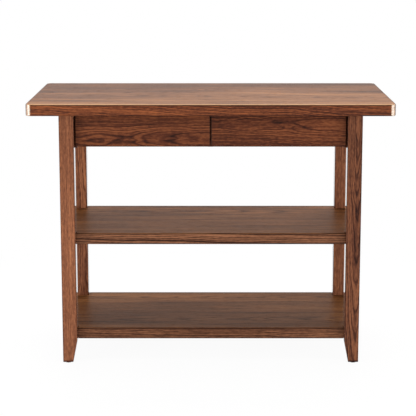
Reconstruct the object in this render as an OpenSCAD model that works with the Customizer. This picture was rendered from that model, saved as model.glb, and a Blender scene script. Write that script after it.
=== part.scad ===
// Kitchen island: a wooden table on four legs with two open shelves and two drawers.
// The front faces -Y, +X is the right-hand side seen from the front, and +Z is up.
// The origin is on the floor, under the middle of the tabletop. All sizes are in millimetres.

/* [Overall] */
// Width of the tabletop, from left to right
total_w = 1220; // [1000:10:1500]
// Depth of the tabletop, from front to back
total_d = 610; // [520:10:760]
// Height from the floor to the top of the tabletop
total_h = 906; // [840:2:960]

/* [Tabletop] */
// Thickness of the tabletop
top_t = 39; // [25:1:50]
// Radius of the tabletop's upright corners
top_corner_r = 20; // [8:1:40]
// Chamfer along the tabletop's edges
top_ease = 2; // [0.5:0.5:4]
// From the tabletop's end to the outer face of a front leg
overhang_side = 102; // [60:1:150]
// From the tabletop's front edge to the front face of a front leg
overhang_front = 65; // [30:1:90]
// From the tabletop's back edge to the back face of a back leg
overhang_back = 63; // [30:1:90]

/* [Legs] */
// Width of a leg, seen from the front
leg_w = 50; // [44:1:60]
// Depth of a leg, from front to back
leg_d = 45; // [42:1:60]
// How far the inner faces are cut back at the floor
foot_inset = 15; // [0:1:18]
// From the underside of the lower shelf down to where the feet start to narrow
taper_drop = 0; // [0:1:30]
// Radius of the legs' upright edges
leg_edge_r = 2.5; // [0.5:0.5:5]
// Thickness of the nylon glide under each foot
glide_t = 3; // [2:0.5:6]
// Diameter of the nylon glide
glide_d = 20; // [14:1:24]

/* [Rails] */
// Height of the side rails
side_rail_h = 123; // [110:1:150]
// Thickness of the side rails
side_rail_t = 36; // [24:1:42]
// Height of the back rail
back_rail_h = 110; // [90:1:130]
// Thickness of the back rail
back_rail_t = 20; // [16:1:26]
// Thickness of the flat rail over the front of the drawers
top_rail_t = 18; // [14:1:22]
// Depth of the flat rail over the front of the drawers
top_rail_d = 60; // [45:1:80]
// Thickness of the divider between the drawers
divider_t = 18; // [16:1:24]
// How far the divider reaches below the drawer fronts, to close the gap between them
divider_drop = 4; // [0:1:12]

/* [Shelves] */
// Thickness of both shelves
shelf_t = 39; // [25:1:45]
// Height of the middle shelf's upper face
middle_shelf_top = 453; // [380:1:540]
// Height of the lower shelf's upper face
lower_shelf_top = 119; // [90:1:180]
// From the front legs' front faces back to the shelves' front edge
shelf_setback_front = 25; // [0:1:35]
// From the back legs' back faces in to the shelves' back edge
shelf_setback_back = 5; // [0:1:14]
// From the legs' outer faces in to the shelves' ends
shelf_setback_side = 2; // [0:1:8]

/* [Drawers] */
// Height of a drawer front
front_h = 114; // [108:1:122]
// Thickness of a drawer front
front_t = 20; // [16:1:24]
// Gap between a drawer front and the tabletop
front_gap_top = 2; // [1:0.5:5]
// Gap between the two drawer fronts
front_gap_centre = 4; // [2:0.5:8]
// Gap between a drawer front and the leg beside it
front_gap_side = 3; // [1:0.5:6]
// From the back of a drawer front to the ends of the side rails behind it
front_rail_gap = 1; // [0.5:0.5:4]
// How far a side rail stands in behind the end of a drawer front, to close the gap beside it
rail_cover = 3; // [1:1:5]
// Height of the drawer box
box_h = 70; // [58:1:74]
// How far the drawer front hangs below the box, for the fingers
box_lift = 21; // [16:1:26]
// Thickness of the drawer box's sides and back
box_t = 15; // [13:1:18]
// Thickness of the drawer bottom
bottom_t = 6; // [4:0.5:8]
// How deep the drawer bottom sits in its grooves
groove_in = 6; // [4:0.5:8]
// From the lower edge of the drawer's sides up to the groove
groove_lift = 8; // [5:1:12]
// From the back of the drawer box to the back rail
rear_room = 16; // [10:1:30]

/* [Slides] */
// Room that a drawer slide takes beside the drawer box
slide_t = 12.7; // [12:0.1:14]
// Height of a drawer slide
slide_h = 45; // [35:1:48]
// Thickness of the slides' sheet steel
sheet_t = 1.2; // [1:0.1:1.6]
// Free length between the drawer front and the front end of a slide
slide_end_room = 4; // [2:1:10]

/* [Fasteners] */
// Diameter of the dowels in the frame
dowel_d = 8; // [6:1:10]
// Length of the dowels in the frame
dowel_l = 36; // [30:2:40]
// Diameter of the dowels in the drawers
small_dowel_d = 6; // [5:1:8]
// Diameter of a shelf's cam lock
cam_d = 15; // [12:1:16]
// Depth of a shelf's cam lock in the shelf
cam_h = 13.5; // [12:0.5:16]
// From the leg to the middle of a cam lock
cam_reach = 24; // [18:1:34]
// Diameter of a cam bolt's shank
cam_bolt_d = 7; // [6:0.5:8]
// Length of the cam bolt's thread in the leg
cam_thread_l = 11; // [8:1:16]
// Diameter of the screws that hold the flat rail to the tabletop
top_screw_d = 4.5; // [3.5:0.5:6]
// Length of these screws
top_screw_l = 40; // [32:1:42]
// Diameter of the small screws in the slides and angle brackets
small_screw_d = 3.5; // [3:0.5:4]
// Arm length of an angle bracket
bracket_arm = 22; // [18:1:26]
// Width of an angle bracket
bracket_w = 20; // [14:1:30]

/* [Hidden] */
$fn = 48;

// Finishes
oak_top = [0.60, 0.49, 0.41];
oak_leg = [0.53, 0.33, 0.23];
oak_front = [0.39, 0.23, 0.16];
oak_shelf = [0.46, 0.35, 0.28];
drawer_wood = [0.72, 0.60, 0.45];
beech = [0.80, 0.66, 0.47];
black_steel = [0.12, 0.12, 0.13];
bright_steel = [0.62, 0.62, 0.60];
nylon = [0.16, 0.15, 0.14];

// Clearances
// Between a shelf and the legs that it is notched round
notch_gap = 0.3;
// Round a dowel, screw, bolt or cam in its hole
hole_gap = 0.05;
// Between the sliding members of a drawer slide
run_gap = 0.3;
// Round the drawer bottom in its grooves
groove_gap = 0.2;
// Between the flat rail and the front legs
top_rail_clear = 2;

// Places, on the right-hand side
leg_outer_x = total_w / 2 - overhang_side;
leg_inner_x = leg_outer_x - leg_w;
leg_front_y = -total_d / 2 + overhang_front;
front_leg_back_y = leg_front_y + leg_d;
leg_back_y = total_d / 2 - overhang_back;
back_leg_front_y = leg_back_y - leg_d;
leg_top_z = total_h - top_t;
taper_z = lower_shelf_top - shelf_t - taper_drop;

back_rail_y = (back_leg_front_y + leg_back_y) / 2;
back_rail_front_y = back_rail_y - back_rail_t / 2;
top_rail_z = leg_top_z - top_rail_t;

// The drawer fronts close just before the side rails' ends, which touch the front legs
front_back_y = front_leg_back_y - front_rail_gap;
front_y = front_back_y - front_t;
front_z = leg_top_z - front_gap_top - front_h;
front_x0 = front_gap_centre / 2;
front_x1 = leg_inner_x - front_gap_side;
// The flat rail starts just behind the front legs
top_rail_y = front_leg_back_y + top_rail_clear;
divider_z = front_z - divider_drop;
rail_inner_x = front_x1 - rail_cover;
box_x0 = divider_t / 2 + slide_t;
box_x1 = rail_inner_x - slide_t;
box_y1 = back_rail_front_y - rear_room;
box_z = front_z + box_lift;
groove_z = box_z + groove_lift;

slide_y0 = front_back_y + slide_end_room;
slide_len = box_y1 - slide_end_room - slide_y0;
slide_z = box_z + box_h / 2;
// The slides open by their whole length
drawer_travel = slide_len;
echo(drawer_travel = drawer_travel);

// Frame dowels: rows at even steps below the tabletop, so that those of two rails never meet in a leg
dowel_step = back_rail_h / 4.4;
side_dowel_z = [for (n = [1, 3]) leg_top_z - n * dowel_step];
back_dowel_z = [for (n = [2, 4]) leg_top_z - n * dowel_step];
side_dowel_x = rail_inner_x + side_rail_t / 2;
top_rail_dowel_y = [for (k = [0.4, 0.75]) top_rail_y + k * top_rail_d];
divider_back_dowel_z = [for (k = [0.3, 0.7]) divider_z + k * (top_rail_z - divider_z)];
divider_dowel_in = 12;

// Drawer dowels
small_dowel_l = 30;
front_dowel_in = 12;
side_dowel_in = 10;
small_dowel_z = [for (k = [0.44, 0.8]) box_z + k * box_h];

// Slide screws
slide_screw_y = [for (k = [0.09, 0.5, 0.9]) slide_y0 + k * slide_len];
small_head_d = 6.5;
small_head_t = 1.4;
rail_screw_l = 14;
divider_screw_l = divider_t / 2 - 1;
drawer_screw_l = box_t - 4;

// Tabletop fixings
top_screw_head_d = 8.5;
top_screw_head_t = 2.6;
top_screw_x = [for (k = [0.26, 0.78]) k * leg_inner_x];
top_screw_y = top_rail_y + top_rail_d / 2;
bracket_t = 2;
bracket_screw_l = 14;
side_bracket_y = [for (k = [0.3, 0.78]) front_leg_back_y + k * (back_leg_front_y - front_leg_back_y)];
back_bracket_x = 0.55 * leg_inner_x;

// Cam locks, in line with the middle of the legs
cam_x = leg_inner_x + leg_w / 2;
cam_axis_h = 9;
cam_thread_d = 5;
cam_shelf_tops = [middle_shelf_top, lower_shelf_top];

glide_pin_d = 4;
glide_pin_l = 14;

// Draws its children on the right-hand side, or mirrored on the left-hand side
module on_side(side) {
    mirror([side < 0 ? 1 : 0, 0, 0]) children();
}

// Draws its children on both sides
module both_sides() {
    for (side = [-1, 1]) on_side(side) children();
}

// Box given by its lowest and highest corners
module block(low, high) {
    translate(low) cube(high - low);
}

// Round bar from one point along an axis: "x", "y" or "z"
module bar(from, axis, length, d) {
    turn = axis == "x" ? [0, 90, 0] : axis == "y" ? [-90, 0, 0] : [0, 0, 0];
    translate(from) rotate(turn) cylinder(d = d, h = length);
}

// Rectangle with round corners, its centre at the origin
module round_rectangle(w, d, r) {
    square([w - 2 * r, d], center = true);
    square([w, d - 2 * r], center = true);
    for (x = [-1, 1], y = [-1, 1]) translate([x * (w / 2 - r), y * (d / 2 - r)]) circle(r);
}

// Half section of the tabletop's rim, from the corner's centre outwards
module rim_section() {
    polygon([
        [0, 0], [top_corner_r - top_ease, 0], [top_corner_r, top_ease],
        [top_corner_r, top_t - top_ease], [top_corner_r - top_ease, top_t], [0, top_t]
    ]);
}

module tabletop() {
    straight_x = total_w - 2 * top_corner_r;
    straight_y = total_d - 2 * top_corner_r;
    color(oak_top) translate([0, 0, leg_top_z]) difference() {
        union() {
            translate([-straight_x / 2, -straight_y / 2, 0]) cube([straight_x, straight_y, top_t]);
            for (side = [-1, 1]) {
                rotate(side > 0 ? 0 : 180) {
                    translate([straight_x / 2, straight_y / 2, 0]) rotate([90, 0, 0])
                        linear_extrude(straight_y) rim_section();
                    translate([-straight_x / 2, straight_y / 2, 0]) rotate([90, 0, 90])
                        linear_extrude(straight_x) rim_section();
                    translate([straight_x / 2, straight_y / 2, 0])
                        rotate_extrude(angle = 90) rim_section();
                    translate([-straight_x / 2, straight_y / 2, 0]) rotate(90)
                        rotate_extrude(angle = 90) rim_section();
                }
            }
        }
        translate([0, 0, -leg_top_z]) {
            top_screw_bars(top_screw_d + 2 * hole_gap);
            bracket_screw_bars(small_screw_d + 2 * hole_gap);
        }
    }
}

// Leg with its outer corner towards +X and -Y; the inner faces are cut back at the foot
module leg_blank() {
    intersection() {
        translate([leg_w / 2, leg_d / 2, 0]) linear_extrude(leg_top_z) round_rectangle(leg_w, leg_d, leg_edge_r);
        translate([0, leg_d, 0]) rotate([90, 0, 0]) linear_extrude(leg_d) polygon([
            [foot_inset, glide_t], [leg_w, glide_t], [leg_w, leg_top_z], [0, leg_top_z], [0, taper_z]
        ]);
        rotate([90, 0, 90]) linear_extrude(leg_w) polygon([
            [0, glide_t], [leg_d - foot_inset, glide_t], [leg_d, taper_z], [leg_d, leg_top_z], [0, leg_top_z]
        ]);
    }
}

module leg_holes() {
    frame_dowel_bars(dowel_d + 2 * hole_gap);
    cam_thread_bars(cam_thread_d + 2 * hole_gap);
    glide_pins(glide_pin_d + 2 * hole_gap);
}

module leg_front(side) {
    color(oak_leg) difference() {
        on_side(side) translate([leg_inner_x, leg_front_y, 0]) leg_blank();
        leg_holes();
        slide_screw_bars(small_screw_d + 2 * hole_gap);
    }
}

module leg_back(side) {
    color(oak_leg) difference() {
        on_side(side) translate([leg_inner_x, leg_back_y, 0]) mirror([0, 1, 0]) leg_blank();
        leg_holes();
    }
}

module side_rail(side) {
    color(oak_leg) difference() {
        on_side(side) block(
            [rail_inner_x, front_leg_back_y, leg_top_z - side_rail_h],
            [rail_inner_x + side_rail_t, back_leg_front_y, leg_top_z]
        );
        frame_dowel_bars(dowel_d + 2 * hole_gap);
        slide_screw_bars(small_screw_d + 2 * hole_gap);
        bracket_screw_bars(small_screw_d + 2 * hole_gap);
    }
}

module back_rail() {
    color(oak_leg) difference() {
        block(
            [-leg_inner_x, back_rail_front_y, leg_top_z - back_rail_h],
            [leg_inner_x, back_rail_front_y + back_rail_t, leg_top_z]
        );
        frame_dowel_bars(dowel_d + 2 * hole_gap);
        bracket_screw_bars(small_screw_d + 2 * hole_gap);
    }
}

module front_top_rail() {
    color(oak_leg) difference() {
        block([-rail_inner_x, top_rail_y, top_rail_z], [rail_inner_x, top_rail_y + top_rail_d, leg_top_z]);
        frame_dowel_bars(dowel_d + 2 * hole_gap);
        top_screw_bars(top_screw_d + 2 * hole_gap);
        top_screw_heads(hole_gap);
    }
}

module centre_divider() {
    color(oak_leg) difference() {
        block([-divider_t / 2, slide_y0, divider_z], [divider_t / 2, back_rail_front_y, top_rail_z]);
        frame_dowel_bars(dowel_d + 2 * hole_gap);
        slide_screw_bars(small_screw_d + 2 * hole_gap);
    }
}

// Shelf notched round the four legs, between its front and back edges
module shelf(top_z) {
    color(oak_shelf) difference() {
        union() {
            block(
                [-leg_inner_x + notch_gap, leg_front_y + shelf_setback_front, top_z - shelf_t],
                [leg_inner_x - notch_gap, leg_back_y - shelf_setback_back, top_z]
            );
            block(
                [-leg_outer_x + shelf_setback_side, front_leg_back_y + notch_gap, top_z - shelf_t],
                [leg_outer_x - shelf_setback_side, back_leg_front_y - notch_gap, top_z]
            );
        }
        cam_bars(cam_d + 2 * hole_gap, hole_gap);
        cam_shank_bars(cam_bolt_d + 2 * hole_gap);
    }
}

// Draws its children at the middle of each foot's underside
module at_feet() {
    half_w = (leg_w - foot_inset) / 2;
    half_d = (leg_d - foot_inset) / 2;
    both_sides() for (y = [leg_front_y + half_d, leg_back_y - half_d])
        translate([leg_outer_x - half_w, y, 0]) children();
}

module glide_pins(d) {
    at_feet() translate([0, 0, glide_t / 2]) cylinder(d = d, h = glide_pin_l);
}

module foot_glides() {
    color(nylon) {
        at_feet() cylinder(d = glide_d, h = glide_t);
        glide_pins(glide_pin_d);
    }
}

// Dowels of the frame, drawn with a hole's diameter to cut their holes
module frame_dowel_bars(d) {
    both_sides() {
        for (y = [front_leg_back_y, back_leg_front_y], z = side_dowel_z)
            bar([side_dowel_x, y - dowel_l / 2, z], "y", dowel_l, d);
        for (z = back_dowel_z)
            bar([leg_inner_x - dowel_l / 2, back_rail_y, z], "x", dowel_l, d);
        for (y = top_rail_dowel_y)
            bar([rail_inner_x - dowel_l / 2, y, leg_top_z - top_rail_t / 2], "x", dowel_l, d);
    }
    for (y = top_rail_dowel_y)
        bar([0, y, top_rail_z - divider_dowel_in], "z", 2 * divider_dowel_in, d);
    for (z = divider_back_dowel_z)
        bar([0, back_rail_front_y - divider_dowel_in, z], "y", 2 * divider_dowel_in, d);
}

module frame_dowels() {
    color(beech) frame_dowel_bars(dowel_d);
}

// Draws its children at each cam bolt, turned so that the leg's face is at x = 0 and the bolt lies on X
module at_cams() {
    both_sides() for (top_z = cam_shelf_tops) translate([cam_x, 0, top_z - shelf_t + cam_axis_h]) {
        translate([0, front_leg_back_y, 0]) rotate(-90) children();
        translate([0, back_leg_front_y, 0]) rotate(90) children();
    }
}

module cam_thread_bars(d) {
    at_cams() bar([0, 0, 0], "x", cam_thread_l, d);
}

module cam_shank_bars(d) {
    at_cams() bar([-cam_reach, 0, 0], "x", cam_reach, d);
}

module cam_bars(d, extra) {
    at_cams() translate([-cam_reach, 0, -cam_axis_h]) cylinder(d = d, h = cam_h + extra);
}

module cam_bolts() {
    color(bright_steel) {
        cam_thread_bars(cam_thread_d);
        cam_shank_bars(cam_bolt_d);
    }
}

// A cam is cut open for the bolt's head and has a cross slot in its lower face
module cam_locks() {
    slot_depth = 2.5;
    slot_w = 1.6;
    color(bright_steel) difference() {
        cam_bars(cam_d, 0);
        at_cams() {
            translate([-cam_reach - hole_gap, 0, 0])
                bar([0, 0, 0], "x", cam_d, cam_bolt_d + 2 * hole_gap);
            for (turn = [45, 135]) translate([-cam_reach, 0, -cam_axis_h + slot_depth / 2]) rotate(turn)
                cube([cam_d * 0.6, slot_w, slot_depth + 0.2], center = true);
        }
    }
}

// Angle bracket in the corner of an upright face and the tabletop, its arms towards -X and down
module bracket() {
    translate([-bracket_t, -bracket_w / 2, -bracket_arm]) cube([bracket_t, bracket_w, bracket_arm]);
    translate([-bracket_arm, -bracket_w / 2, -bracket_t]) cube([bracket_arm, bracket_w, bracket_t]);
}

// Draws its children at each bracket, with the corner at the origin
module at_brackets() {
    both_sides() {
        for (y = side_bracket_y) translate([rail_inner_x, y, leg_top_z]) children();
        translate([back_bracket_x, back_rail_front_y, leg_top_z]) rotate(90) children();
    }
}

module bracket_screw_bars(d) {
    at_brackets() {
        bar([-bracket_t, 0, -bracket_arm * 0.6], "x", bracket_screw_l, d);
        bar([-bracket_arm * 0.6, 0, -bracket_t], "z", bracket_screw_l, d);
    }
}

module top_brackets() {
    color(bright_steel) difference() {
        at_brackets() bracket();
        bracket_screw_bars(small_screw_d + 2 * hole_gap);
    }
}

module bracket_screws() {
    color(bright_steel) {
        bracket_screw_bars(small_screw_d);
        at_brackets() {
            bar([-bracket_t - small_head_t, 0, -bracket_arm * 0.6], "x", small_head_t, small_head_d);
            bar([-bracket_arm * 0.6, 0, -bracket_t - small_head_t], "z", small_head_t, small_head_d);
        }
    }
}

module top_screw_bars(d) {
    both_sides() for (x = top_screw_x) bar([x, top_screw_y, top_rail_z], "z", top_screw_l, d);
}

module top_screw_heads(extra) {
    both_sides() for (x = top_screw_x)
        bar([x, top_screw_y, top_rail_z - extra], "z", top_screw_head_t + 2 * extra, top_screw_head_d + 2 * extra);
}

module top_screws() {
    color(bright_steel) {
        top_screw_bars(top_screw_d);
        top_screw_heads(0);
    }
}

// Draws its children for one slide: u is the distance from the carcase towards the drawer, along X
module at_slide(side, place) {
    on_side(side) {
        if (place == "outer") translate([rail_inner_x, 0, 0]) mirror([1, 0, 0]) children();
        else translate([divider_t / 2, 0, 0]) children();
    }
}

// Sheet-steel channel along Y: its web lies at u0, and its flanges reach to u1
module channel(u0, u1, h) {
    web_u = u1 > u0 ? u0 : u0 - sheet_t;
    low_u = min(u0, u1);
    block([web_u, slide_y0, slide_z - h / 2], [web_u + sheet_t, slide_y0 + slide_len, slide_z + h / 2]);
    for (z = [slide_z - h / 2, slide_z + h / 2 - sheet_t])
        block([low_u, slide_y0, z], [max(u0, u1), slide_y0 + slide_len, z + sheet_t]);
}

middle_h = slide_h - 2 * sheet_t - 2 * run_gap;
inner_h = middle_h - 2 * sheet_t - 2 * run_gap;
// Where the middle member's web lies between the other two
middle_web_u = slide_t * 0.47;

module slide_cabinet(side, place) {
    color(black_steel) difference() {
        at_slide(side, place) channel(0, slide_t - 3, slide_h);
        slide_screw_bars(small_screw_d + 2 * hole_gap);
    }
}

module slide_middle(side, place) {
    color(black_steel) at_slide(side, place) channel(middle_web_u - sheet_t, slide_t - 2, middle_h);
}

module slide_drawer(side, place) {
    color(black_steel) difference() {
        at_slide(side, place) channel(slide_t, middle_web_u + 1, inner_h);
        drawer_screw_bars(side, small_screw_d + 2 * hole_gap);
    }
}

// Screws of the cabinet members, into the side rails and the divider
module slide_screw_bars(d) {
    for (side = [-1, 1], y = slide_screw_y) {
        at_slide(side, "outer") bar([-rail_screw_l, y, slide_z], "x", rail_screw_l + sheet_t, d);
        at_slide(side, "inner") bar([-divider_screw_l, y, slide_z], "x", divider_screw_l + sheet_t, d);
    }
}

module slide_screws() {
    color(bright_steel) {
        slide_screw_bars(small_screw_d);
        for (side = [-1, 1], place = ["outer", "inner"], y = slide_screw_y)
            at_slide(side, place) bar([sheet_t, y, slide_z], "x", small_head_t, small_head_d);
    }
}

// Screws of the drawer members, into the drawer's sides
module drawer_screw_bars(side, d) {
    for (place = ["outer", "inner"], y = slide_screw_y)
        at_slide(side, place) bar([slide_t - sheet_t, y, slide_z], "x", drawer_screw_l + sheet_t, d);
}

module drawer_screws(side) {
    color(bright_steel) {
        drawer_screw_bars(side, small_screw_d);
        for (place = ["outer", "inner"], y = slide_screw_y) at_slide(side, place)
            bar([slide_t - sheet_t - small_head_t, y, slide_z], "x", small_head_t, small_head_d);
    }
}

// Dowels of one drawer: front to sides, and sides to back
module drawer_dowel_bars(side, d) {
    on_side(side) for (z = small_dowel_z) {
        for (x = [box_x0 + box_t / 2, box_x1 - box_t / 2])
            bar([x, front_back_y - front_dowel_in, z], "y", small_dowel_l, d);
        for (x = [box_x0 + box_t - side_dowel_in, box_x1 - box_t + side_dowel_in - small_dowel_l])
            bar([x, box_y1 - box_t / 2, z], "x", small_dowel_l, d);
    }
}

module drawer_dowels(side) {
    color(beech) drawer_dowel_bars(side, small_dowel_d);
}

module drawer_front(side) {
    color(oak_front) difference() {
        on_side(side) difference() {
            block([front_x0, front_y, front_z], [front_x1, front_back_y, front_z + front_h]);
            block(
                [box_x0 + box_t - groove_in, front_back_y - groove_in, groove_z],
                [box_x1 - box_t + groove_in, front_back_y + 1, groove_z + bottom_t + groove_gap]
            );
        }
        drawer_dowel_bars(side, small_dowel_d + 2 * hole_gap);
    }
}

module drawer_side(side, place) {
    x0 = place == "outer" ? box_x1 - box_t : box_x0;
    groove_x = place == "outer" ? x0 - 1 : x0 + box_t - groove_in;
    color(drawer_wood) difference() {
        on_side(side) difference() {
            block([x0, front_back_y, box_z], [x0 + box_t, box_y1, box_z + box_h]);
            block(
                [groove_x, front_back_y - 1, groove_z],
                [groove_x + groove_in + 1, box_y1 + 1, groove_z + bottom_t + groove_gap]
            );
        }
        drawer_dowel_bars(side, small_dowel_d + 2 * hole_gap);
        drawer_screw_bars(side, small_screw_d + 2 * hole_gap);
    }
}

module drawer_back(side) {
    color(drawer_wood) difference() {
        on_side(side) block(
            [box_x0 + box_t, box_y1 - box_t, groove_z + bottom_t + groove_gap],
            [box_x1 - box_t, box_y1, box_z + box_h]
        );
        drawer_dowel_bars(side, small_dowel_d + 2 * hole_gap);
    }
}

module drawer_bottom(side) {
    inset = box_t - groove_in + groove_gap;
    color(drawer_wood) on_side(side) block(
        [box_x0 + inset, front_back_y - groove_in + groove_gap, groove_z],
        [box_x1 - inset, box_y1, groove_z + bottom_t]
    );
}

tabletop();
leg_front(-1);  // leg_front_left
leg_front(1);  // leg_front_right
leg_back(-1);  // leg_back_left
leg_back(1);  // leg_back_right
side_rail(-1);  // side_rail_left
side_rail(1);  // side_rail_right
back_rail();
front_top_rail();
centre_divider();
shelf(middle_shelf_top);  // middle_shelf
shelf(lower_shelf_top);  // lower_shelf
foot_glides();
frame_dowels();
cam_bolts();
cam_locks();
top_brackets();
bracket_screws();
top_screws();
slide_screws();
slide_cabinet(-1, "outer");  // left_outer_slide_cabinet
slide_cabinet(-1, "inner");  // left_inner_slide_cabinet
slide_cabinet(1, "outer");  // right_outer_slide_cabinet
slide_cabinet(1, "inner");  // right_inner_slide_cabinet
slide_middle(-1, "outer");  // left_outer_slide_middle
slide_middle(-1, "inner");  // left_inner_slide_middle
slide_middle(1, "outer");  // right_outer_slide_middle
slide_middle(1, "inner");  // right_inner_slide_middle
slide_drawer(-1, "outer");  // left_outer_slide_drawer
slide_drawer(-1, "inner");  // left_inner_slide_drawer
slide_drawer(1, "outer");  // right_outer_slide_drawer
slide_drawer(1, "inner");  // right_inner_slide_drawer
drawer_front(-1);  // left_drawer_front
drawer_side(-1, "outer");  // left_drawer_side_outer
drawer_side(-1, "inner");  // left_drawer_side_inner
drawer_back(-1);  // left_drawer_back
drawer_bottom(-1);  // left_drawer_bottom
drawer_dowels(-1);  // left_drawer_dowels
drawer_screws(-1);  // left_drawer_screws
drawer_front(1);  // right_drawer_front
drawer_side(1, "outer");  // right_drawer_side_outer
drawer_side(1, "inner");  // right_drawer_side_inner
drawer_back(1);  // right_drawer_back
drawer_bottom(1);  // right_drawer_bottom
drawer_dowels(1);  // right_drawer_dowels
drawer_screws(1);  // right_drawer_screws
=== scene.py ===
# %% [markdown]
# A kitchen island in walnut-stained oak. It is a simple piece of joinery: a thick top, four
# legs, two shelves and two drawers. What makes it look real is the wood, so most of this
# lesson is about wood: edges that are eased as a joiner eases them, and a grain that is cut
# from a tree and not painted on.
#
# The measured model of the island comes first. Every piece of this lesson is placed by it.

# %% Load the measured model
import math

import bmesh
import bpy
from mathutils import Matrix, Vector


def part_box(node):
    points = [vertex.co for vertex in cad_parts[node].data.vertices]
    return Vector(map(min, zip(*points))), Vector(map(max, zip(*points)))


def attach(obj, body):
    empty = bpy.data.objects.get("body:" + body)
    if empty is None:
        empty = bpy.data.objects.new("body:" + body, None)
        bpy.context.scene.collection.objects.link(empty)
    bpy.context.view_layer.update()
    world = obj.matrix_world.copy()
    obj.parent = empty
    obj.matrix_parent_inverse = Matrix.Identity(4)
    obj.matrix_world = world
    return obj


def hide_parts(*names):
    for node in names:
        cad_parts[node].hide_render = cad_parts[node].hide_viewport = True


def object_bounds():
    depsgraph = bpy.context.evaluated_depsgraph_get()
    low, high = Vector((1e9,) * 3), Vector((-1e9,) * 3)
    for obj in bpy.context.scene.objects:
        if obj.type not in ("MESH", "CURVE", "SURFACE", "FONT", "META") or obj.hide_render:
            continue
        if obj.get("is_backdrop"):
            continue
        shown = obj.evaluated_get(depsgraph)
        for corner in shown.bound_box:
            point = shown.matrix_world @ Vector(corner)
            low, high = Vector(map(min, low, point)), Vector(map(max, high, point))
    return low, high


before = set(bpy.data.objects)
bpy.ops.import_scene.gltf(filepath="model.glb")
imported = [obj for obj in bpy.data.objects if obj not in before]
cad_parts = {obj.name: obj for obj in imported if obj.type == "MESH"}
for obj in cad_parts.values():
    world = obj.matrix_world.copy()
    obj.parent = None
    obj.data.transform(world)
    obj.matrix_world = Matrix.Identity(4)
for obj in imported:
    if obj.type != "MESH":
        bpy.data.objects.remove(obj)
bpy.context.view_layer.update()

# %% [markdown]
# The photograph was taken straight from the front, from about head height, with a longish
# lens. A camera that looks straight ahead and shifts its lens a long way down keeps every leg
# upright in the picture, but so large a shift would push the island out of any other view.
# This camera stands in the same place. It is tilted down a little and shifted only a little,
# so the legs lean by no more than two or three pixels.

# %% Camera
CAMERA_BACK = 4.601
CAMERA_HEIGHT = 1.472
CAMERA_TILT = math.radians(10.01)
LENS_SHIFT = (-0.0065, -0.11)
SENSOR_WIDTH = 36.0
# Focal length in units of the picture's width
FOCAL_IN_WIDTHS = 3.1752
NEAREST_SEEN = 0.1
FURTHEST_SEEN = 60

camera_data = bpy.data.cameras.new("camera")
camera_data.sensor_width = SENSOR_WIDTH
camera_data.lens = FOCAL_IN_WIDTHS * SENSOR_WIDTH
camera_data.shift_x, camera_data.shift_y = LENS_SHIFT
camera_data.clip_start = NEAREST_SEEN
camera_data.clip_end = FURTHEST_SEEN
camera = bpy.data.objects.new("camera", camera_data)
camera.location = (0, -CAMERA_BACK, CAMERA_HEIGHT)
camera.rotation_euler = (math.pi / 2 - CAMERA_TILT, 0, 0)
bpy.context.collection.objects.link(camera)
bpy.context.scene.camera = camera
print("focal length in mm:", round(camera_data.lens, 1))

# %% [markdown]
# Materials in Blender are graphs of nodes. Made by hand in the editor, the wood of this island
# would take a hundred of them for each board. A few small helpers write them instead: one adds
# a node and fills its sockets, and the others do sums with the values that flow between nodes.

# %% Helpers for graphs
def add(tree, kind, inputs=None, **settings):
    """A new node, with its settings made and its sockets linked or filled."""
    made = tree.nodes.new("ShaderNode" + kind)
    for key, value in settings.items():
        setattr(made, key, value)
    for key, value in (inputs or {}).items():
        if isinstance(value, bpy.types.NodeSocket):
            tree.links.new(value, made.inputs[key])
        else:
            made.inputs[key].default_value = value
    return made


def calc(tree, operation, first, second=0.0):
    """The result of one sum."""
    return add(tree, "Math", {0: first, 1: second}, operation=operation).outputs[0]


def plus(tree, first, *others):
    """Values added one after the other."""
    for other in others:
        first = calc(tree, "ADD", first, other)
    return first


def minus(tree, first, second):
    """One value less another."""
    return calc(tree, "SUBTRACT", first, second)


def times(tree, first, *others):
    """Values multiplied one after the other."""
    for other in others:
        first = calc(tree, "MULTIPLY", first, other)
    return first


print("sums:", [helper.__name__ for helper in (plus, minus, times)])

# %% [markdown]
# Oak is a tree before it is a board. Its growth rings are tubes round a pith, and a board is a
# cut through them: straight lines where the saw met the rings steeply, and long pointed
# arches where it only grazed them. A photograph of wood would be simpler to use, but it would
# lie on each face like wallpaper. So the grain here is solid. The same graph gives the lines
# on the face, on the edges and on the end grain, and they meet at the corners as they do in
# real wood.
#
# Everything in that graph starts from where a point lies on its own board: along the grain,
# across the face, and into the depth. Most of its patterns are noise that is drawn out along
# the grain.

# %% A board's own axes
# Each pattern of noise: its waves per metre along and across the grain, and its shift
BENDS = (5.0, 9.0, 0.0)
WIGGLES = (26.0, 45.0, 3.0)
FIBRES = (14.0, 300.0, 5.0)
STREAKS = (1.8, 42.0, 7.0)
CLOUDS = (1.1, 6.0, 9.0)
DASHES = (42.0, 520.0, 11.0)
EDGE_BREAKS = (14.0, 40.0, 13.0)
BANDS = (3.0, 30.0, 15.0)
FLECKS = (70.0, 210.0, 17.0)
# How a board's seed moves its patterns along each axis
SEED_STEPS = (1.0, 0.7, 1.3)
SHIFT_STEPS = (1, -1, 1)


def new_material(name):
    """A material with its node tree and its shader."""
    material = bpy.data.materials.new(name)
    material.use_nodes = True
    return material, material.node_tree, material.node_tree.nodes["Principled BSDF"]


def noise(tree, vector, detail=2.0, roughness=0.5, output="Fac"):
    """Noise of scale 1 on a vector that is already stretched."""
    inputs = {"Vector": vector, "Scale": 1.0, "Detail": detail, "Roughness": roughness}
    return add(tree, "TexNoise", inputs).outputs[output]


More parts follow.
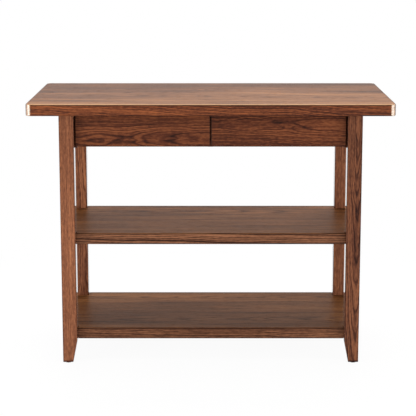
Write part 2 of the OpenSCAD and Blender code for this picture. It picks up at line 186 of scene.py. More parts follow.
class Board:
    """The graph of one board's wood. grain and wide are its axes along the grain and across
    the face."""

    def __init__(self, name, low, high, grain, wide, seed):
        self.material, self.tree, self.shader = new_material(name)
        self.grain = grain
        self.wide = wide
        self.depth = 3 - grain - wide
        self.half = (high - low) / 2
        self.seed = seed
        coordinates = add(self.tree, "TexCoord").outputs
        middle = (low + high) / 2
        from_middle = {"Vector": coordinates["Object"], "Location": -middle}
        self.place = add(self.tree, "Mapping", from_middle).outputs[0]
        axes = add(self.tree, "SeparateXYZ", {0: self.place}).outputs
        self.along = axes[grain]
        self.across = axes[wide]
        self.inward = axes[self.depth]
        self.normal = add(self.tree, "SeparateXYZ", {0: coordinates["Normal"]}).outputs

    def noise(self, pattern, detail=2.0, roughness=0.5, calm=1.0, output="Fac"):
        """Noise drawn out along the grain. A calm under 1 makes it slower."""
        lengthwise, crosswise, shift = pattern
        scale = [crosswise * calm] * 3
        scale[self.grain] = lengthwise * calm
        offset = [self.seed * step + shift * way for step, way in zip(SEED_STEPS, SHIFT_STEPS)]
        inputs = {"Vector": self.place, "Scale": scale, "Location": offset}
        vector = add(self.tree, "Mapping", inputs).outputs[0]
        return noise(self.tree, vector, detail, roughness, output)


print("patterns across the grain, in waves per metre:", sorted({FIBRES[1], FLECKS[1], BANDS[1]}))

# %% [markdown]
# A wide board is glued up from narrow staves, and each stave comes from another place in the
# tree. One random number per stave moves it sideways in the tree, and another sets its tone.

# %% Staves
STAVE_SPREAD = 0.30


def in_staves(board, width):
    """Where a point lies across its own stave's part of the tree, and that stave's tone."""
    tree = board.tree
    number = calc(tree, "FLOOR", calc(tree, "DIVIDE", board.across, width))
    middle = times(tree, plus(tree, number, 0.5), width)
    inputs = {"W": plus(tree, number, board.seed)}
    drawn = add(tree, "TexWhiteNoise", inputs, noise_dimensions="1D").outputs["Color"]
    place, tone, _ = add(tree, "SeparateColor", {0: drawn}).outputs
    aside = times(tree, minus(tree, place, 0.5), STAVE_SPREAD)
    return plus(tree, minus(tree, board.across, middle), aside), tone


print("staves move sideways in the tree by up to", STAVE_SPREAD / 2, "m")

# %% [markdown]
# The rings follow from one number, the distance from the pith. The pith is a line that runs
# beside the board at a slight angle and bends slowly. Where the board holds a knot's shadow or
# the saw touched a bulge, the rings close into an eye, and a smooth hump added to the distance
# draws one.

# %% Distance from the pith
def distance_from_pith(board, across, pith, slope, sway, calm):
    """How far a point is from the middle of the tree. pith is where that middle lies from the
    board's own, across the face and into the depth, and slope is how it leans along the board."""
    tree = board.tree
    bends = add(tree, "SeparateColor", {0: board.noise(BENDS, calm=calm, output="Color")}).outputs
    sides = {}
    for number, value in enumerate((across, board.inward)):
        moved = minus(tree, value, pith[number])
        leaning = times(tree, board.along, slope[number])
        swaying = times(tree, minus(tree, bends[number], 0.5), sway * 2)
        sides[number] = plus(tree, moved, leaning, swaying)
    both = add(tree, "CombineXYZ", sides).outputs[0]
    return add(tree, "VectorMath", {0: both}, operation="LENGTH").outputs["Value"]


def with_eyes(board, radius, across, eyes):
    """Bends the rings round each eye: its place along and across from the board's middle, its
    half length, its half width and its height, all in metres."""
    tree = board.tree
    for at_along, at_across, half_long, half_wide, height in eyes:
        long_share = calc(tree, "DIVIDE", minus(tree, board.along, at_along), half_long)
        wide_share = calc(tree, "DIVIDE", minus(tree, across, at_across), half_wide)
        pointed = calc(tree, "ABSOLUTE", wide_share)
        reach = plus(tree, times(tree, long_share, long_share), pointed, 1.0)
        radius = plus(tree, radius, calc(tree, "DIVIDE", height, reach))
    return radius


print("an eye needs:", ["place along", "place across", "half length", "half width", "height"])

# %% [markdown]
# Counted in rings, that distance gives the ring that a point is in and how far through it the
# point is. Each ring goes from the dark open wood of spring to the dense pale wood of summer.
# Real rings are of uneven width, since no two summers are alike, and each has its own tone.

# %% Growth rings
def grey(value):
    """A grey that is linear already."""
    return (value, value, value, 1.0)


def ramp(tree, value, stops):
    """A colour ramp with the given stops, each a place and a colour."""
    made = add(tree, "ValToRGB", {0: value})
    elements = made.color_ramp.elements
    while len(elements) > 1:
        elements.remove(elements[-1])
    elements[0].position, elements[0].color = stops[0]
    for place, colour in stops[1:]:
        elements.new(place).color = colour
    return made.outputs[0]


WIGGLE = 0.0022
# How pale a ring is at each share of its width
RING_PROFILE = [
    (0.00, grey(0.16)),
    (0.10, grey(0.00)),
    (0.26, grey(0.58)),
    (0.50, grey(0.86)),
    (0.86, grey(0.76)),
    (1.00, grey(0.16)),
]
UNEVEN_SCALE = 0.45
UNEVENNESS = 1.2


def growth_rings(board, radius, ring, calm):
    """How pale a point is within its ring, and the tone of that ring."""
    tree = board.tree
    wiggle = minus(tree, board.noise(WIGGLES), 0.5)
    radius = plus(tree, radius, times(tree, wiggle, WIGGLE * calm))
    count = calc(tree, "DIVIDE", radius, ring)
    inputs = {"W": count, "Scale": UNEVEN_SCALE, "Detail": 1.0}
    uneven = add(tree, "TexNoise", inputs, noise_dimensions="1D").outputs[0]
    count = plus(tree, count, times(tree, uneven, UNEVENNESS))
    profile = ramp(tree, calc(tree, "FRACT", count), RING_PROFILE)
    whole = {"W": calc(tree, "FLOOR", count)}
    own_tone = add(tree, "TexWhiteNoise", whole, noise_dimensions="1D").outputs[0]
    return profile, own_tone


print("a ring is darkest at", RING_PROFILE[1][0], "of its width")

# %% [markdown]
# The colours of the stain are written as a screen shows them, from 0 to 255. A shader works
# with amounts of light, so each colour is changed to those linear values once, when it is named.

# %% Colours
def linear(red, green, blue):
    """A screen colour from 0 to 255 as the linear colour that a shader takes."""
    def one(value):
        share = value / 255
        return share / 12.92 if share <= 0.04045 else ((share + 0.055) / 1.055) ** 2.4

    return (one(red), one(green), one(blue), 1.0)


print("middle grey of a screen, as light:", round(linear(128, 128, 128)[0], 3))

# %% [markdown]
# The stain turns all of this into colour. The rings, the fibres and a few slower noises are
# added up as one shade, and a ramp turns that shade into a brown. A face that looks up is
# treated apart: it takes paler tones and fainter rings, a painted sheen over the wood's own
# tone, and it shows broad bands along the grain.

# %% Shade and stain
TONE_PLACES = (0.05, 0.5, 0.92)
RING_TONE_SHARE = 0.45
FIBRE_WEIGHT = 0.75
CLOUD_WEIGHT = 0.25
# Faces that look up keep fainter rings and take paler tones: painted sheen
UPPER_RINGS = 0.48
UPPER_CLOUD_WEIGHT = 0.55
STAVE_WEIGHT = 0.20


def weighed(tree, start, *parts):
    """A start value, moved by how far each part is from its middle, times its weight."""
    for value, weight in parts:
        start = plus(tree, start, times(tree, minus(tree, value, 0.5), weight))
    return start


def stained(tree, shade, tones):
    """The stain's colour for a shade, from the dark tone to the light one."""
    return ramp(tree, shade, list(zip(TONE_PLACES, tones)))


def upper_shade(board, quiet, clouds, rings, stave_tone, banding, painted_front_light):
    """The shade of a face that looks up. painted_front_light is how much painted light pales it
    towards the front.
    """
    tree = board.tree
    bands = board.noise(BANDS, 4.0, 0.7)
    faint = [(value, weight * UPPER_RINGS) for value, weight in rings]
    shade = weighed(tree, quiet, (bands, banding), (clouds, UPPER_CLOUD_WEIGHT),
                    (stave_tone, STAVE_WEIGHT), *faint)
    # Painted light: the face grows paler towards the front
    return minus(tree, shade, times(tree, board.across, painted_front_light))


print("on upper faces the rings keep", UPPER_RINGS, "of their strength")

# %% [markdown]
# A board's outline is a little darker than its face: the colour darkens within a few
# millimetres of each edge. The dark line isn't even: a slow noise makes it thinner in places.

# %% Edges
# How far in from an edge the darkening starts to fade, and where it is gone
EDGE_REACH = (0.0006, 0.0042)
BREAK_NOISE = (0.30, 0.55)
BREAK_STRENGTH = (0.70, 1.0)


def turn(tree, value, low, high, to_low=0.0, to_high=1.0):
    """Turns a value smoothly from one range to another."""
    ends = {"Value": value, "From Min": low, "From Max": high, "To Min": to_low, "To Max": to_high}
    return add(tree, "MapRange", ends, interpolation_type="SMOOTHSTEP").outputs[0]


def from_faces(board):
    """How far a point lies inside the board's faces, along each axis."""
    tree = board.tree
    away = add(tree, "VectorMath", {0: board.place}, operation="ABSOLUTE").outputs[0]
    inside = add(tree, "VectorMath", {0: board.half, 1: away}, operation="SUBTRACT").outputs[0]
    return add(tree, "SeparateXYZ", {0: inside}).outputs


def dark_edges(board, inside):
    """1 along every edge of the board, and 0 on its faces."""
    tree = board.tree
    nearest = calc(tree, "MINIMUM", inside[0], inside[1])
    further = calc(tree, "MAXIMUM", inside[0], inside[1])
    second = calc(tree, "MAXIMUM", nearest, calc(tree, "MINIMUM", further, inside[2]))
    broken = turn(tree, board.noise(EDGE_BREAKS), *BREAK_NOISE, *BREAK_STRENGTH)
    return times(tree, turn(tree, second, *EDGE_REACH, 1.0, 0.0), broken)


# This prints how far the darker edge reaches in
print("an edge's stain reaches in by", EDGE_REACH[1] * 1000, "mm")

# %% [markdown]
# On a board that is seen from above, the rims aren't alike. Where the front one turns over, a
# pale highlight is painted on, with a darker line just under it. The ends and the back are
# darker too. The way that a face looks, its normal, tells where a rim turns over.

# %% Upper rims
# The pale tone of the painted highlight along an upper rim
CREST_HIGHLIGHT_TONE = linear(214, 170, 128)
# How far the normal points upwards where the rim starts to turn over, and where it is level
RIM_TURNS = (0.25, 0.55)
RIM_IS_LEVEL = (0.92, 0.99)
AWAY_FROM_ENDS = (0.3, 0.6)
# How far in from its face each dark line starts to fade, and where it is gone
UNDER_RIM_REACH = (0.0030, 0.0060)
END_REACH = (0.0015, 0.0060)
# How far in from the back the dark starts, and where it is full
BACK_REACH = (0.0120, 0.0040)


def painted_crest_highlight(board, strength):
    """A painted highlight where an upper rim turns over, but not at the ends. At the back, the
    darker back rim covers it.
    """
    tree = board.tree
    turning = times(tree, turn(tree, board.normal[2], *RIM_TURNS),
                    turn(tree, board.normal[2], *RIM_IS_LEVEL, 1.0, 0.0))
    sideways = calc(tree, "ABSOLUTE", board.normal[0])
    return times(tree, turning, turn(tree, sideways, *AWAY_FROM_ENDS, strength, 0.0))


def upper_edges(board, inside, edges, upwards):
    """The dark edges of a board that is seen from above."""
    tree = board.tree
    under_top = minus(tree, board.half[board.depth], board.inward)
    under_rim = turn(tree, under_top, *UNDER_RIM_REACH, 1.0, 0.0)
    below = times(tree, calc(tree, "MAXIMUM", edges, under_rim), minus(tree, 1.0, upwards))
    ends = turn(tree, inside[0], *END_REACH, 1.0, 0.0)
    starts, full = (board.half[board.wide] - reach for reach in BACK_REACH)
    back = turn(tree, board.across, starts, full)
    above = times(tree, calc(tree, "MAXIMUM", ends, back), upwards)
    return calc(tree, "MAXIMUM", below, above)


print("the dark back rim is", BACK_REACH[0] * 1000, "mm wide")

# %% [markdown]
# Lacquer is a clear coat over the wood. It shows in two places only: on the legs' inner faces,
# which mirror the bright floor in a thin line, and on the round corners of the top, where it
# catches the side lamps. There a pale highlight is painted into the colour as well, under the
# lamps' reflection. So the coat's weight follows the way that a face looks.

# %% Lacquer
# The pale tone of the painted highlight on the top's round corners
CORNER_HIGHLIGHT_TONE = linear(226, 190, 146)
# How far the normal points aside where a round corner starts, where it ends, and where a face
# looks straight aside
CORNER_STARTS = (0.06, 0.22)
CORNER_ENDS = (0.70, 0.90)
STRAIGHT_ASIDE = (0.92, 0.99)
# How far it points up or down where a face stops being upright
NOT_UPRIGHT = (0.3, 0.7)
HIGHLIGHT_FIBRES = (0.35, 0.60)


def sideways_look(board, facing):
    """How far a face looks to the side: only to the given one, or to either one if it is 0."""
    if facing:
        return times(board.tree, board.normal[0], facing)
    return calc(board.tree, "ABSOLUTE", board.normal[0])


def lacquer_weight(board, look, starts, full, at_end):
    """The coat's weight. at_end is what is left of it on a face that looks straight aside."""
    fading = turn(board.tree, look, *STRAIGHT_ASIDE, 1.0, at_end)
    return times(board.tree, turn(board.tree, look, starts, full), fading)


def painted_corner_highlight(board, look, fibre, strength):
    """A painted highlight on a round upright corner, broken up fibre by fibre."""
    tree = board.tree
    corner = times(tree, turn(tree, look, *CORNER_STARTS), turn(tree, look, *CORNER_ENDS, 1.0, 0.0))
    standing = turn(tree, calc(tree, "ABSOLUTE", board.normal[2]), *NOT_UPRIGHT, 1.0, 0.0)
    by_fibre = turn(tree, fibre, *HIGHLIGHT_FIBRES, strength * 0.5, strength)
    return times(tree, corner, standing, by_fibre)


# This prints the pale tone of the painted corner highlight
print("bare wood under the stain:", [round(part, 2) for part in CORNER_HIGHLIGHT_TONE[:3]])

# %% [markdown]
# Oak has open pores: short dark dashes, most of them in the open wood of each ring. They are
# sunk a little and duller than the wood round them, which is what makes oak look like oak in a
# slanting light. So they go into the relief and the roughness as well as into the colour. The
# relief is a bump, because a pore is far too small to be modelled.

# %% Pores and relief
DASH_NOISE = (0.54, 0.68)
# The ring's paleness at which the last pores close
PALEST_WITH_PORES = 1.1
RELIEF_DEPTH = 0.00025
RELIEF_STRENGTH = 0.6
RING_RELIEF = 0.35
FIBRE_RELIEF = 0.4
PORE_DULLNESS = 0.22
FIBRE_DULLNESS = 0.10


def open_pores(board, profile):
    """How open the pores are. They fade as the ring grows paler."""
    dashes = turn(board.tree, board.noise(DASHES, 1.0), *DASH_NOISE)
    return times(board.tree, dashes, minus(board.tree, PALEST_WITH_PORES, profile))


def dullness(board, rough, pore, fibre):
    """The roughness, more in the pores and a little uneven by fibre."""
    tree = board.tree
    dull = plus(tree, rough, times(tree, pore, PORE_DULLNESS))
    return plus(tree, dull, times(tree, minus(tree, fibre, 0.5), FIBRE_DULLNESS))


def link_relief(board, profile, pore, fibre):
    """The fine relief of rings, pores and fibres, as a bump on the shader."""
    tree = board.tree
    height = minus(tree, times(tree, profile, RING_RELIEF), pore)
    height = plus(tree, height, times(tree, fibre, FIBRE_RELIEF))
    inputs = {"Height": height, "Distance": RELIEF_DEPTH, "Strength": RELIEF_STRENGTH}
    tree.links.new(add(tree, "Bump", inputs).outputs[0], board.shader.inputs["Normal"])


print("the relief is at most", RELIEF_DEPTH * 1000, "mm deep")

# %% [markdown]
# End grain drinks more stain than a face, and the foot of a leg gets a painted shadow where it
# meets the floor. Both are a dark tone mixed over what is there, by a factor that says where.

# %% Dark ends
CUT_ACROSS = (0.6, 0.9)
END_GRAIN_STAIN = 0.35
# The height of the painted shadow at a leg's foot
FOOT_SHADE_HEIGHT = 0.009
# The share of that height up to which the foot is darkest
FOOT_SHADE_DARKEST = 0.4
FOOT_SHADE_STRENGTH = 0.85


def mix(tree, factor, first, second):
    """Two colours mixed by a factor."""
    # A mix node has sockets for several kinds of value, and these two are its colours
    first_colour, second_colour, mixed_colour = 6, 7, 2
    inputs = {0: factor, first_colour: first, second_colour: second}
    return add(tree, "Mix", inputs, data_type="RGBA").outputs[mixed_colour]


def end_stain_and_foot_shade(board, colour, dark, foot):
    """The colour with darker end grain, and with a painted shadow at the foot if the board has one.
    """
    tree = board.tree
    end_grain = turn(tree, calc(tree, "ABSOLUTE", board.normal[board.grain]), *CUT_ACROSS)
    colour = mix(tree, times(tree, end_grain, END_GRAIN_STAIN), colour, dark)
    if foot:
        lowest = -board.half[board.grain]
        reach = (lowest + FOOT_SHADE_HEIGHT, lowest + FOOT_SHADE_HEIGHT * FOOT_SHADE_DARKEST)
        # A painted contact shadow along the lowest millimetres of a leg
        colour = mix(tree, turn(tree, board.along, *reach, 0.0, FOOT_SHADE_STRENGTH), colour, dark)
    return colour


print("a foot is dark up to", FOOT_SHADE_HEIGHT * 1000, "mm")

# %% [markdown]
# Now the parts come together as one material. Its steps follow a maker's own: the wood comes
# from the tree, it is stained, the stain settles in pores and end grain, and the lacquer goes on
# last. Along the way the edges are darkened, and painted light goes in: a sheen on faces that
# look up, highlights on the top's front rim and round corners, and a shadow at a leg's foot.

# %% Oak
LOOKS_UP = (0.15, 0.5)
# How much duller than the lacquer the wood under it stays
LACQUER_MARGIN = 0.02


def oak(name, low, high, grain, wide, tones, pith, seed, ring=0.0034, contrast=0.5,
        slope=(0.0, 0.0), sway=0.012, calm=1.0, eyes=(), stave=None, streaks=0.5, flecks=0.0,
        pores=0.55, arris=0.30, rough=0.42, shine=0.1, foot=False, upper=None, lacquer=None):
    """Oak for one board between two corners. ring is a ring's width in metres, and contrast,
    streaks, flecks, pores and arris are strengths. calm slows the bends, stave is the width of
    a stave, and foot paints a shadow on the lower end. upper tells how the faces that look up
    differ, and lacquer where the clear coat and the painted corner highlight are."""
    board = Board(name, low, high, grain, wide, seed)
    tree = board.tree
    shader = board.shader
    dark = tones[0]

    across, stave_tone = in_staves(board, stave) if stave else (board.across, 0.5)
    radius = distance_from_pith(board, across, pith, slope, sway, calm)
    radius = with_eyes(board, radius, across, eyes)
    profile, own_tone = growth_rings(board, radius, ring, calm)
    rings = ((profile, contrast), (own_tone, contrast * RING_TONE_SHARE))
    fibre = board.noise(FIBRES, 3.0, 0.6)
    streak = board.noise(STREAKS, 2.0, 0.6)
    clouds = board.noise(CLOUDS, 1.0)
    fleck = board.noise(FLECKS)
    quiet = weighed(tree, 0.5, (fibre, FIBRE_WEIGHT), (streak, streaks), (clouds, CLOUD_WEIGHT))
    colour = stained(tree, weighed(tree, quiet, (fleck, flecks), *rings), tones)
    if upper:
        upwards = turn(tree, board.normal[2], *LOOKS_UP)
        shade = upper_shade(board, quiet, clouds, rings, stave_tone, upper["banding"],
                            upper["painted_front_light"])
        colour = mix(tree, upwards, colour, stained(tree, shade, upper["tones"]))

    pore = open_pores(board, profile)
    colour = mix(tree, times(tree, pore, pores), colour, dark)

    inside = from_faces(board)
    edges = dark_edges(board, inside)
    if upper:
        # A painted highlight along the upper rims, where they turn over
        colour = mix(tree, painted_crest_highlight(board, upper["crest_highlight"]), colour, CREST_HIGHLIGHT_TONE)
        edges = upper_edges(board, inside, edges, upwards)
    colour = mix(tree, times(tree, edges, arris), colour, dark)
    colour = end_stain_and_foot_shade(board, colour, dark, foot)

    dull = dullness(board, rough, pore, fibre)
    if lacquer:
        look = sideways_look(board, lacquer["facing"])
        weight = lacquer_weight(board, look, lacquer["starts"], lacquer["full"], lacquer["at_end"])
        tree.links.new(weight, shader.inputs["Coat Weight"])
        shader.inputs["Coat IOR"].default_value = lacquer["ior"]
        shader.inputs["Coat Roughness"].default_value = lacquer["rough"]
        smoother = times(tree, weight, rough - lacquer["rough"] - LACQUER_MARGIN)
        dull = calc(tree, "MAXIMUM", minus(tree, dull, smoother), lacquer["rough"])
        # A pale painted highlight on the round corners, under the lamps' reflection
        if lacquer["corner_highlight"]:
            corner_highlight = painted_corner_highlight(board, look, fibre, lacquer["corner_highlight"])
            colour = mix(tree, corner_highlight, colour, CORNER_HIGHLIGHT_TONE)
    tree.links.new(colour, shader.inputs["Base Color"])
    tree.links.new(dull, shader.inputs["Roughness"])
    shader.inputs["Specular IOR Level"].default_value = shine
    link_relief(board, profile, pore, fibre)
    print(f"{name}: {len(tree.nodes)} nodes")
    return board.material


# %% [markdown]
# A board straight from the saw has edges as sharp as a ruler's line. A joiner takes them off
# with a plane or sandpaper, and that narrow rounded edge catches the light all along the
# board. Each piece starts as a cube, is stretched to the size that the measured model gives,
# and has its edges bevelled.

# %% Helpers for boards
FRAME = "island_frame"
X, Y, Z = 0, 1, 2
# How nearly straight up an edge has to run, or a face has to look, to count
STRAIGHT = 0.99


def place_cube(mesh, low, high):
    """A cube stretched from one corner to the other."""
    made = bmesh.ops.create_cube(mesh, size=1.0)["verts"]
    bmesh.ops.scale(mesh, vec=high - low, verts=made)
    bmesh.ops.translate(mesh, vec=(low + high) / 2, verts=made)


def bevel(mesh, edges, radius, segments=3):
    """Rounds some edges of a mesh."""
    bmesh.ops.bevel(mesh, geom=list(edges), offset=radius, offset_type="OFFSET",
                    segments=segments, profile=0.5, affect="EDGES", clamp_overlap=True,
                    material=-1)


def level_rims(mesh):
    """The edges round the highest and the lowest faces."""
    return [edge for edge in mesh.edges
            if len(edge.link_faces) == 2
            and sum(abs(face.normal.z) > STRAIGHT for face in edge.link_faces) == 1]


def finish_piece(name, mesh, material, body, node):
    """Makes the object, shades it, hangs it on its body and hides the node that it stands for."""
    bmesh.ops.recalc_face_normals(mesh, faces=mesh.faces)
    data = bpy.data.meshes.new(name)
    mesh.to_mesh(data)
    mesh.free()
    data.polygons.foreach_set("use_smooth", [True] * len(data.polygons))
    data.materials.append(material)
    piece = bpy.data.objects.new(name, data)
    bpy.context.collection.objects.link(piece)
    # Wide faces stay flat to the eye, and only the eased edges turn the light
    weighted = piece.modifiers.new("even shading", "WEIGHTED_NORMAL")
    weighted.weight = 100
    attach(piece, body)
    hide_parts(node)
    print(f"{name}: {len(data.polygons)} faces")


def eased_board(node, material, body, radius):
    """A plain board with eased edges in place of a node."""
    mesh = bmesh.new()
    place_cube(mesh, *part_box(node))
    bevel(mesh, mesh.edges[:], radius)
    finish_piece(node + "_oak", mesh, material, body, node)


print("a board is eased to a radius of a millimetre or three")

# %% [markdown]
# The stain isn't one brown. It is dark where the wood is open, and a warm orange brown where
# it is dense. These are the tones from dark to light, for the frame and for the plain wood
# inside the drawers.

# %% Tones of the wood
LEG_TONES = (linear(59, 28, 17), linear(120, 73, 50), linear(167, 108, 73))
DARK_LEG_TONES = (linear(37, 16, 11), linear(87, 50, 34), linear(133, 83, 56))
EDGE_TONES = (linear(38, 16, 9), linear(86, 45, 29), linear(143, 80, 45))
# Faces that look up are paler than the edges: partly the wood's tone, partly painted sheen
UPPER_TONES = (linear(58, 32, 16), linear(101, 62, 34), linear(145, 98, 60))
FRONT_TONES = (linear(32, 14, 8), linear(81, 41, 25), linear(128, 73, 43))
SHELF_TONES = (linear(39, 23, 17), linear(91, 58, 42), linear(142, 95, 68))
# The shelves' upper faces are paler too: partly the wood's tone, partly painted sheen
SHELF_UPPER_TONES = (linear(55, 31, 16), linear(97, 60, 33), linear(137, 90, 53))
INNER_TONES = (linear(150, 116, 78), linear(190, 156, 112), linear(214, 184, 140))
print("middle tone of a leg, as light:", [round(part, 3) for part in LEG_TONES[1][:3]])

# %% [markdown]
# The tabletop is a thick slab with round corners. Its four upright edges are rounded first,
# with many segments because they are wide, and then the rims above and below are eased. Its
# lacquer is on the round corners, and its front rim is worn pale.

# %% Tabletop
TOP_CORNER = 0.020
TOP_EASE = 0.0028
TOP_STAVE = 0.0872


def upright(edge):
    """True for an edge that runs up and down."""
    ends = [vertex.co for vertex in edge.verts]
    return abs((ends[0] - ends[1]).normalized().z) > STRAIGHT


top_low, top_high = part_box("tabletop")
mesh = bmesh.new()
place_cube(mesh, top_low, top_high)
bevel(mesh, [edge for edge in mesh.edges if upright(edge)], TOP_CORNER, 12)
mesh.normal_update()
bevel(mesh, level_rims(mesh), TOP_EASE, 4)
top_upper = dict(tones=UPPER_TONES, banding=1.3, painted_front_light=0.9, crest_highlight=0.9)
top_lacquer = dict(rough=0.28, ior=1.9, starts=0.06, full=0.38, at_end=0.0, facing=0, corner_highlight=0.5)
top_oak = oak("oak tabletop", top_low, top_high, X, Y, EDGE_TONES, pith=(0.02, -0.13), seed=3.1,
              ring=0.0040, contrast=0.7, slope=(0.05, 0.035), sway=0.018, calm=0.6,
              stave=TOP_STAVE, flecks=0.7, arris=0.85, upper=top_upper, lacquer=top_lacquer)
finish_piece("tabletop_oak", mesh, top_oak, FRAME, "tabletop")

# %% [markdown]
# The legs are square, with the two inner faces cut back at the foot. A joiner saws that taper
# off. Here the leg is sliced where the foot starts and its lowest inner corners are moved
# outwards, which keeps every face flat and needs no cutting block.

# %% A leg's shape
FOOT_INSET = 0.015
LEG_EDGE = 0.0025
SHARP_ANGLE = math.radians(20)
TOUCH = 0.001
taper_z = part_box("lower_shelf")[0].z


def leg(node, material):
    """A leg whose foot narrows on its two inner faces."""
    low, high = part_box(node)
    inner_x = low.x if low.x > 0 else high.x
    inner_y = high.y if high.y < 0 else low.y
    mesh = bmesh.new()
    place_cube(mesh, low, high)
    everything = mesh.verts[:] + mesh.edges[:] + mesh.faces[:]
    bmesh.ops.bisect_plane(mesh, geom=everything, plane_co=(0, 0, taper_z), plane_no=(0, 0, 1))
    for vertex in mesh.verts:
        if vertex.co.z < low.z + TOUCH:
            if abs(vertex.co.x - inner_x) < TOUCH:
                vertex.co.x += math.copysign(FOOT_INSET, inner_x)
            if abs(vertex.co.y - inner_y) < TOUCH:
                vertex.co.y += math.copysign(FOOT_INSET, inner_y)
    mesh.normal_update()
    sharp = [edge for edge in mesh.edges if edge.calc_face_angle(0) > SHARP_ANGLE]
    bevel(mesh, sharp, LEG_EDGE)
    finish_piece(node + "_oak", mesh, material, FRAME, node)


print("the feet start to narrow at a height of", round(taper_z, 3), "m")

# %% [markdown]
# All four legs are alike in shape, but each is another piece of wood. The right front one is
# darker and shows arches, and the others are straighter. The lacquer of each is on the face
# that looks to the island's middle.

# %% Legs
leg_looks = {
    "leg_front_left": dict(tones=LEG_TONES, pith=(-0.16, 0.03), seed=11.0, ring=0.0030,
                           contrast=0.30, slope=(0.006, 0.0), sway=0.004, streaks=0.5),
    "leg_front_right": dict(tones=DARK_LEG_TONES, pith=(0.012, 0.010), seed=17.0, ring=0.0030,
                            contrast=0.55, slope=(0.004, 0.03), sway=0.006, streaks=1.0),
    "leg_back_left": dict(tones=LEG_TONES, pith=(0.03, 0.03), seed=23.0, ring=0.0034,
                          contrast=0.34, slope=(0.01, 0.02), sway=0.006, streaks=0.8),
    "leg_back_right": dict(tones=LEG_TONES, pith=(0.14, 0.05), seed=29.0, ring=0.0034,
                           contrast=0.4, slope=(0.01, 0.0), sway=0.006, streaks=0.6),
}
for node, look in leg_looks.items():
    low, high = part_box(node)
    inwards = -1 if low.x > 0 else 1
    leg_lacquer = dict(rough=0.03, ior=1.6, starts=0.93, full=0.99, at_end=1.0, facing=inwards,
                       corner_highlight=0.0)
    leg_oak = oak("oak " + node, low, high, Z, X, arris=0.5, pores=0.9, flecks=0.6, foot=True,
                  lacquer=leg_lacquer, **look)
    leg(node, leg_oak)

# %% [markdown]
# Each shelf is one thick board with its corners cut out for the legs. Its outline is drawn once
# as a flat face, pushed up to the shelf's thickness, and then eased along its edges.

# %% Shelves
SHELF_EASE = 0.0018
SHELF_STAVE = 0.0964
NOTCH_GAP = 0.0003
front_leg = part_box("leg_front_right")
back_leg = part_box("leg_back_right")


def shelf(node, material):
    """A shelf notched round the four legs."""
    low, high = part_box(node)
    inner = front_leg[0].x - NOTCH_GAP
    front_notch = front_leg[1].y + NOTCH_GAP
    back_notch = back_leg[0].y - NOTCH_GAP
    right = [
        (inner, low.y), (inner, front_notch), (high.x, front_notch),
        (high.x, back_notch), (inner, back_notch), (inner, high.y),
    ]
    left = [(-x, y) for x, y in reversed(right)]
    mesh = bmesh.new()
    outline = mesh.faces.new([mesh.verts.new((x, y, low.z)) for x, y in right + left])
    pushed = bmesh.ops.extrude_face_region(mesh, geom=[outline])["geom"]
    risen = [part for part in pushed if isinstance(part, bmesh.types.BMVert)]
    bmesh.ops.translate(mesh, vec=(0, 0, high.z - low.z), verts=risen)
    bmesh.ops.recalc_face_normals(mesh, faces=mesh.faces)
    bevel(mesh, level_rims(mesh), SHELF_EASE)
    finish_piece(node + "_oak", mesh, material, FRAME, node)


shelf_upper = dict(tones=SHELF_UPPER_TONES, banding=0.8, painted_front_light=0.0, crest_highlight=0.0)
shelf_looks = {
    "middle_shelf": dict(pith=(0.01, -0.13), seed=41.0, ring=0.0060, contrast=0.9,
                         slope=(0.01, 0.03)),
    "lower_shelf": dict(pith=(0.03, 0.12), seed=47.0, ring=0.0040, contrast=0.6,
                        slope=(-0.01, 0.03)),
}
for node, look in shelf_looks.items():
    low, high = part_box(node)
    shelf_oak = oak("oak " + node, low, high, X, Y, SHELF_TONES, calm=0.45, stave=SHELF_STAVE,
                    flecks=0.5, pores=0.8, arris=0.75, shine=0.04, upper=shelf_upper, **look)
    shelf(node, shelf_oak)

# %% [markdown]
# The rails under the top are plain boards. They stay in the shade, but the side rails close the
# view beside the drawers and the back rail shows from behind.

# %% Rails
RAIL_EASE = 0.0004
rail_looks = {
    "side_rail_left": dict(grain=Y, wide=Z, pith=(-0.09, 0.03), seed=53.0),
    "side_rail_right": dict(grain=Y, wide=Z, pith=(0.08, -0.03), seed=59.0),
    "back_rail": dict(grain=X, wide=Z, pith=(0.02, -0.06), seed=61.0),
    "front_top_rail": dict(grain=X, wide=Y, pith=(0.05, 0.06), seed=67.0),
    "centre_divider": dict(grain=Y, wide=Z, pith=(0.03, 0.07), seed=71.0),
}
for node, look in rail_looks.items():
    rail_oak = oak("oak " + node, *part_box(node), tones=EDGE_TONES, slope=(0.0, 0.05), **look)
    eased_board(node, rail_oak, FRAME, RAIL_EASE)

# %% [markdown]
# The drawer fronts carry the liveliest grain of the island: long flowing lines with eyes in
# them, where the saw only just touched a ring. Each has three eyes, about where the
# photograph has them.

# %% Drawer fronts
FRONT_EASE = 0.0015
front_looks = {
    "left": dict(pith=(-0.030, 0.036), seed=85.0, eyes=(
        (-0.088, 0.006, 0.050, 0.012, 0.005),
        (-0.040, -0.034, 0.045, 0.010, 0.007),
        (0.100, -0.028, 0.070, 0.010, 0.006),
    )),
    "right": dict(pith=(0.018, 0.030), seed=89.0, eyes=(
        (0.042, 0.011, 0.050, 0.012, 0.007),
        (-0.076, 0.016, 0.075, 0.014, 0.009),
        (0.200, 0.014, 0.085, 0.014, 0.009),
    )),
}
for side, look in front_looks.items():
    node = side + "_drawer_front"
    front_oak = oak("oak " + node, *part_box(node), X, Z, FRONT_TONES, ring=0.0040, contrast=0.50,
                    slope=(0.0, 0.03), sway=0.010, streaks=0.6, flecks=0.7, arris=0.55, **look)
    eased_board(node, front_oak, side + "_drawer", FRONT_EASE)

# %% [markdown]
# The drawer boxes are of plain pale wood. They keep the shape of the measured model, grooves and
# all, and only get a finer and quieter grain.

# %% Drawer boxes
BOX_SEED = 97.0
SIDE_SEED_STEP = 7
box_parts = {"side_outer": (Y, Z), "side_inner": (Y, Z), "back": (X, Z), "bottom": (X, Y)}


